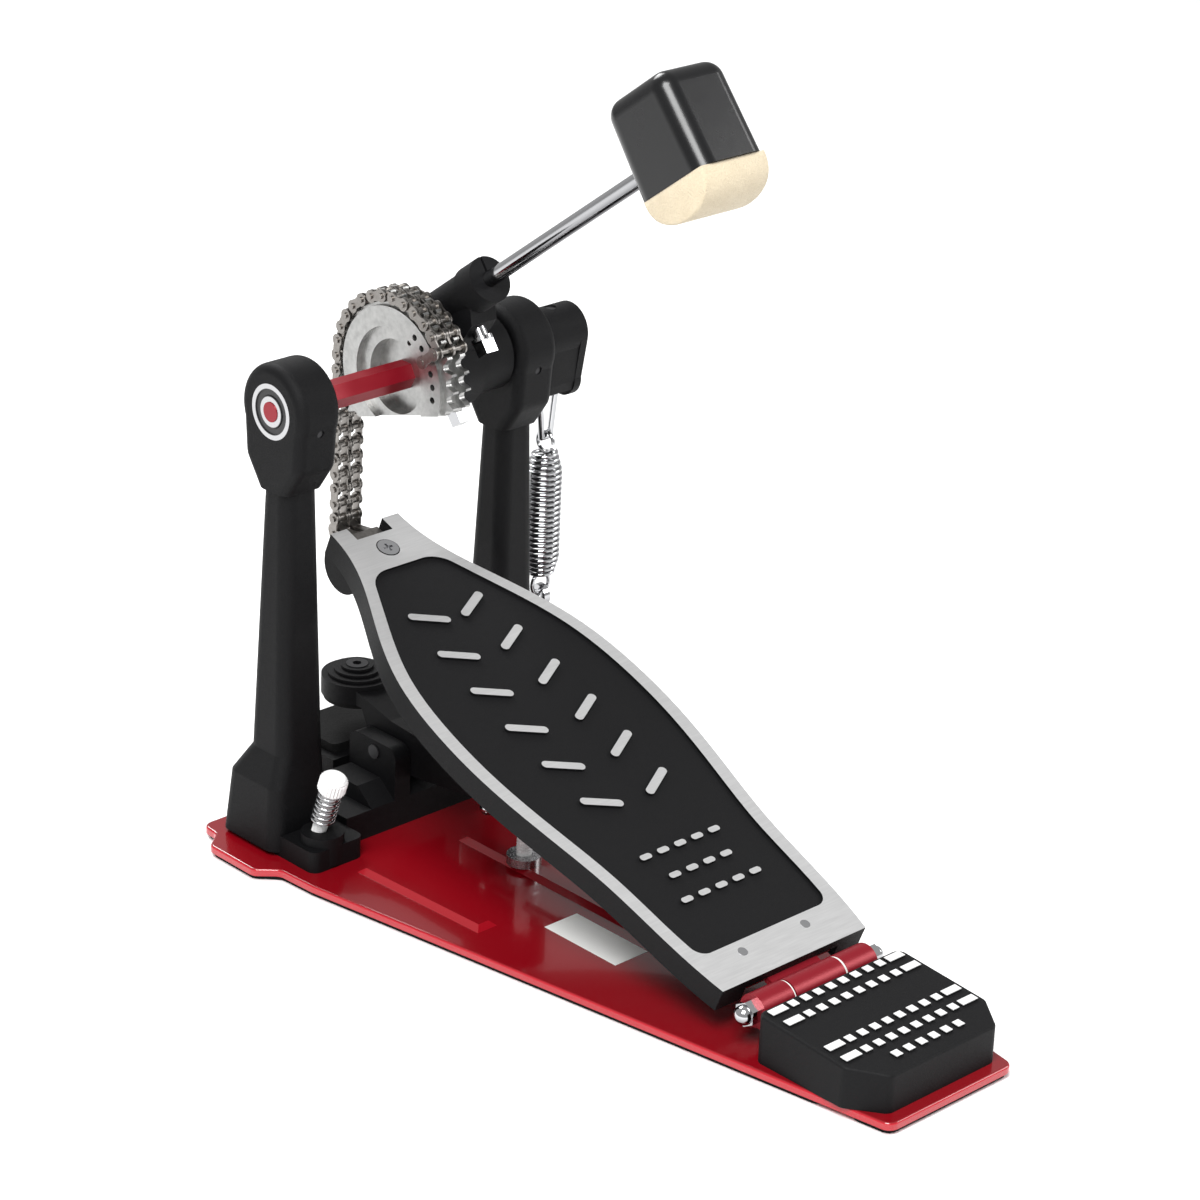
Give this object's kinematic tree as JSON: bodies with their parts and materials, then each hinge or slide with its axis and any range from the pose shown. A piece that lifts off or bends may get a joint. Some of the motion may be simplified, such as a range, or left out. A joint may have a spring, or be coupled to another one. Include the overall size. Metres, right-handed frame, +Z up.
{
  "type": "bass drum pedal",
  "caption": "Foot pedal for a bass drum: hinged footboard, double-strand chain and wheel, sprung shaft with a beater, two uprights and a hoop clamp on a tapered base plate.",
  "frame": {"origin": "on the floor, straight below the middle of the drive shaft", "axes": "+X to the player's right, +Y towards the drum, +Z up from the floor"},
  "size_m": [0.1758, 0.3475, 0.338],
  "materials": {
    "red_enamel": "glossy deep red enamel",
    "black_rubber": "matt black rubber",
    "black_casting": "fine-textured black powder coat",
    "red_satin": "satin dark red",
    "chrome": "bright plating",
    "steel": "plain steel",
    "black_screw": "blackened steel",
    "cast_aluminium": "bare cast and machined metal",
    "chain_steel": "dull grey steel",
    "gloss_black": "polished black",
    "felt": "pressed cream felt",
    "nylon": "white nylon"
  },
  "bodies": {
    "base": {"base_plate": "red_enamel", "rubber_mats": "black_rubber", "left_upright": "black_casting", "right_upright": "black_casting", "cross_bridge": "black_casting", "hoop_rest_pad": "black_rubber", "base_screws": "steel", "bearing_outer_rings": "steel", "bearing_balls": "steel", "bearing_set_screws": "black_screw", "heel_block": "black_casting", "heel_screws": "chrome", "heel_knuckles": "red_satin", "hinge_rod": "chrome", "hinge_washers": "nylon", "acorn_nuts": "chrome", "clamp_pivot_pin": "steel", "clamp_screw_seat": "steel", "eye_bolt": "chrome", "eye_bolt_nut": "chrome", "left_spur_spring": "chrome", "right_spur_spring": "chrome"},
    "shaft": {"hex_shaft": "red_satin", "bearing_inner_rings": "steel", "chain_wheel": "cast_aluminium", "wrapped_pin_links": "chain_steel", "wrapped_roller_links": "chain_steel", "chain_anchor_link": "chain_steel", "beater_hub": "black_casting", "hub_key_bolts": "chrome", "spring_rocker": "black_casting", "rocker_set_screw": "black_screw", "rocker_pin": "chrome"},
    "upper_links": {"chain_link_5": "chain_steel", "chain_link_4": "chain_steel"},
    "middle_links": {"chain_link_3": "chain_steel", "chain_link_2": "chain_steel"},
    "chain_run": {"chain_link_1": "chain_steel", "hanging_pin_links": "chain_steel", "hanging_roller_links": "chain_steel"},
    "beater_stem": {"beater_rod": "chrome"},
    "beater_head": {"beater_shell": "gloss_black", "beater_felt": "felt", "beater_set_screw": "black_screw"},
    "bail": {"spring_bail": "chrome"},
    "spring": {"return_spring": "chrome"},
    "clamp": {"clamp_arm": "black_casting", "clamp_jaw_pad": "black_rubber", "clamp_jaw_screw": "chrome", "clamp_nut": "steel"},
    "clamp_key": {"clamp_screw": "chrome", "clamp_handle": "chrome"},
    "footboard": {"footboard": "black_casting", "footboard_knuckle": "red_satin", "footboard_rivets": "chrome", "chain_connector": "chain_steel", "toe_screw": "chrome"},
    "left_spur": {"left_spur": "chrome"},
    "right_spur": {"right_spur": "chrome"},
    "tension_nut": {"tension_nut": "chrome"}
  },
  "joints": [
    {"name": "shaft_turn", "type": "hinge", "parent": "base", "child": "shaft", "pos_m": [0, 0, 0.188], "axis": [-1, 0, 0], "range_deg": [0, 52], "stiffness_Nm_per_rad": 0.6, "springref_deg": -20.05},
    {"name": "footboard_pivot", "type": "hinge", "parent": "base", "child": "footboard", "pos_m": [0, -0.232, 0.0185], "axis": [-1, 0, 0], "range_deg": [0, 6.08]},
    {"name": "chain_joint_5", "type": "hinge", "parent": "shaft", "child": "upper_links", "pos_m": [0, 0.018, 0.21493], "axis": [1, 0, 0], "range_deg": [0, 14.26]},
    {"name": "chain_joint_3", "type": "hinge", "parent": "upper_links", "child": "middle_links", "pos_m": [0, 0.02693, 0.206], "axis": [1, 0, 0], "range_deg": [0, 19.01]},
    {"name": "chain_joint_1", "type": "hinge", "parent": "middle_links", "child": "chain_run", "pos_m": [0, 0.03177, 0.19432], "axis": [1, 0, 0], "range_deg": [0, 21.2]},
    {"name": "bail_swing", "type": "hinge", "parent": "shaft", "child": "bail", "pos_m": [0.078, 0, 0.168], "axis": [1, 0, 0], "range_deg": [0, 60.82]},
    {"name": "spring_stretch", "type": "slide", "parent": "bail", "child": "spring", "axis": [0, 0, -1], "range_m": [0, 0.00891], "deforming": ["return_spring"]},
    {"name": "beater_height", "type": "slide", "parent": "shaft", "child": "beater_stem", "axis": [0, -0.7944, 0.6074], "range_m": [-0.02, 0.02]},
    {"name": "beater_turn", "type": "hinge", "parent": "beater_stem", "child": "beater_head", "pos_m": [0.018, 0.01033, 0.2015], "axis": [0, -0.7944, 0.6074], "continuous": true},
    {"name": "clamp_turn", "type": "hinge", "parent": "base", "child": "clamp_key", "pos_m": [0, -0.078, 0.022], "axis": [0, 0, -1], "range_deg": [0, 1080]},
    {"name": "clamp_arm_tilt", "type": "hinge", "parent": "base", "child": "clamp", "pos_m": [0, -0.008, 0.034], "axis": [-1, 0, 0], "range_deg": [0, 6.1]},
    {"name": "left_spur_slide", "type": "slide", "parent": "base", "child": "left_spur", "axis": [0, 0.3257, -0.9455], "range_m": [0, 0.007], "deforming": ["left_spur_spring"]},
    {"name": "right_spur_slide", "type": "slide", "parent": "base", "child": "right_spur", "axis": [0, 0.3257, -0.9455], "range_m": [0, 0.007], "deforming": ["right_spur_spring"]},
    {"name": "tension_nut_turn", "type": "hinge", "parent": "base", "child": "tension_nut", "pos_m": [0.078, 0, 0.04], "axis": [0, 0, 1], "continuous": true}
  ],
  "couplings": [
    {"joint": "footboard_pivot", "follows": "shaft_turn", "ratio": 0.11675},
    {"joint": "chain_joint_5", "follows": "shaft_turn", "ratio": 0.27404},
    {"joint": "chain_joint_3", "follows": "shaft_turn", "ratio": 0.36539},
    {"joint": "chain_joint_1", "follows": "shaft_turn", "ratio": 0.40748},
    {"joint": "bail_swing", "follows": "shaft_turn", "ratio": 1.1694},
    {"joint": "spring_stretch", "follows": "shaft_turn", "m_per_rad": 0.009806},
    {"joint": "clamp_arm_tilt", "follows": "clamp_turn", "ratio": 0.0056482}
  ]
}
